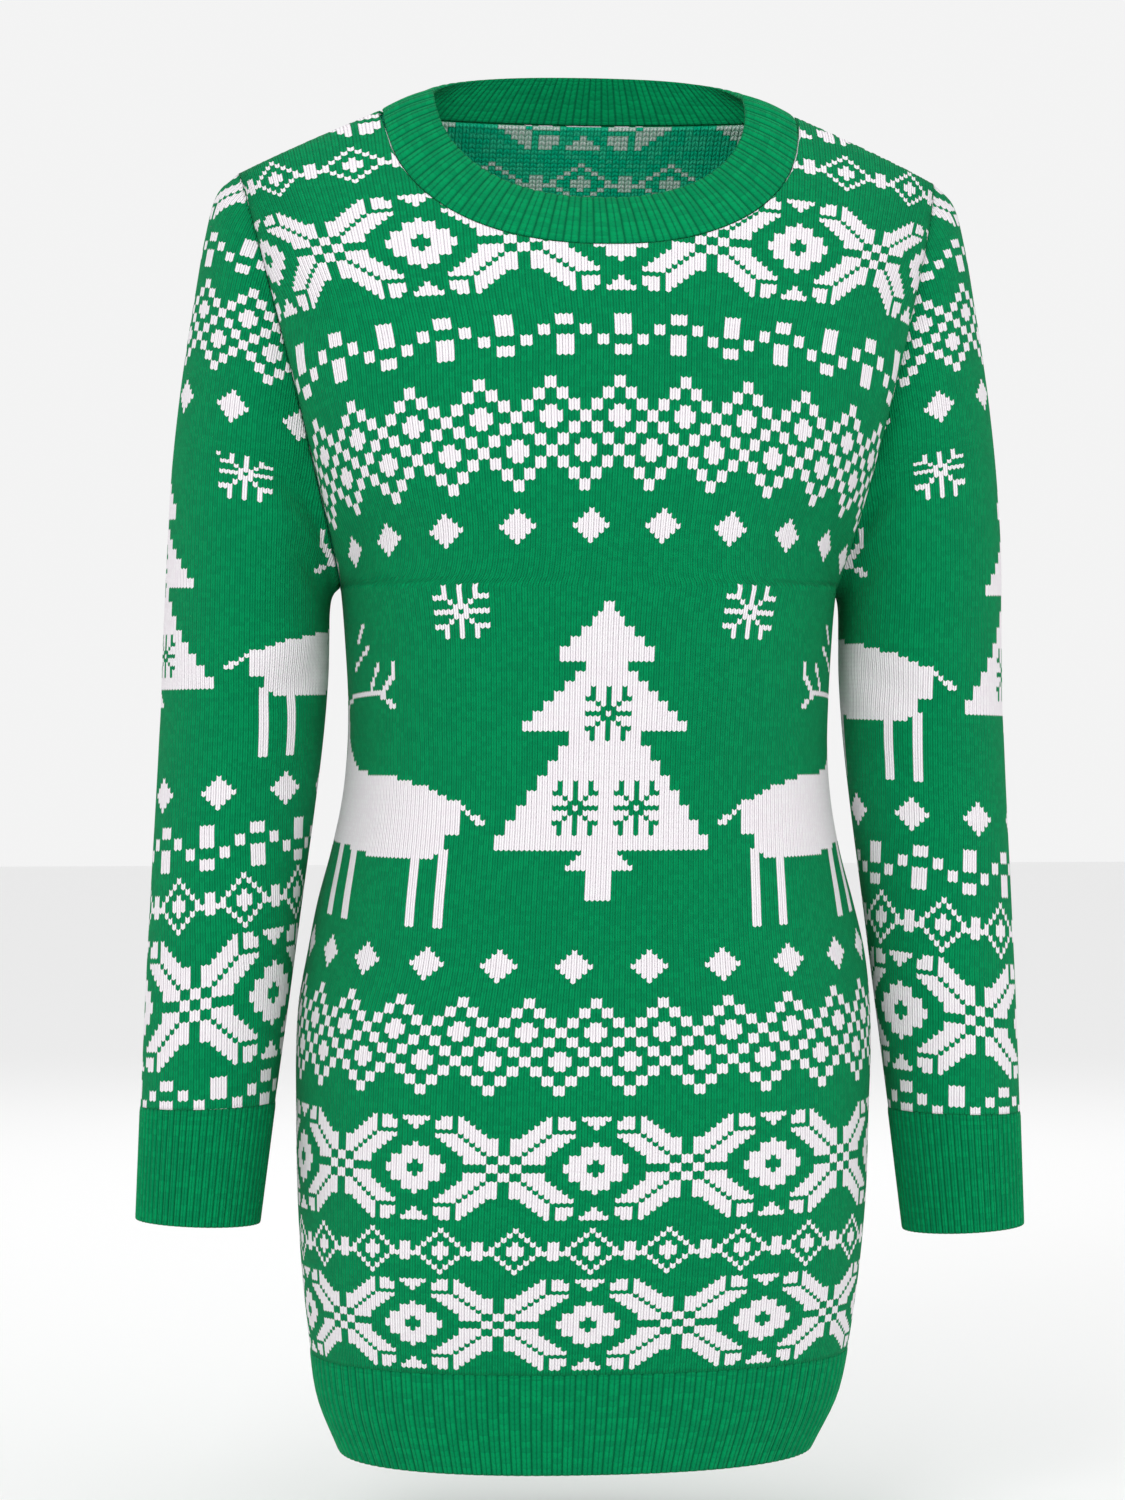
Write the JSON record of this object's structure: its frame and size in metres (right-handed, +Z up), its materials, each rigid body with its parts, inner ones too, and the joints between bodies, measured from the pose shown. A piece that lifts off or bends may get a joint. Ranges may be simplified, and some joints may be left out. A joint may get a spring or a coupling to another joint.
{
  "type": "sweater dress",
  "caption": "Knitted sweater dress with long sleeves, ribbed crew collar, cuffs and hem, filled out and hollow as if worn.",
  "frame": {"origin": "middle of the neck, level with the inner ends of the shoulder seams, where the wearer's shoulders hold the dress", "axes": "-Y out of the front, +X to the wearer's left, +Z up"},
  "size_m": [0.4985, 0.2186, 0.7732],
  "materials": {
    "jacquard_knit": "green jersey knit with white jacquard motifs, matt with a soft nap",
    "rib_knit": "plain green rib knit, matt with a soft nap"
  },
  "bodies": {
    "root": {"front": "jacquard_knit", "back": "jacquard_knit", "sleeve_left": "jacquard_knit", "sleeve_right": "jacquard_knit", "collar": "rib_knit", "cuff_left": "rib_knit", "cuff_right": "rib_knit", "hem_rib_front": "rib_knit", "hem_rib_back": "rib_knit"}
  },
  "joints": []
}
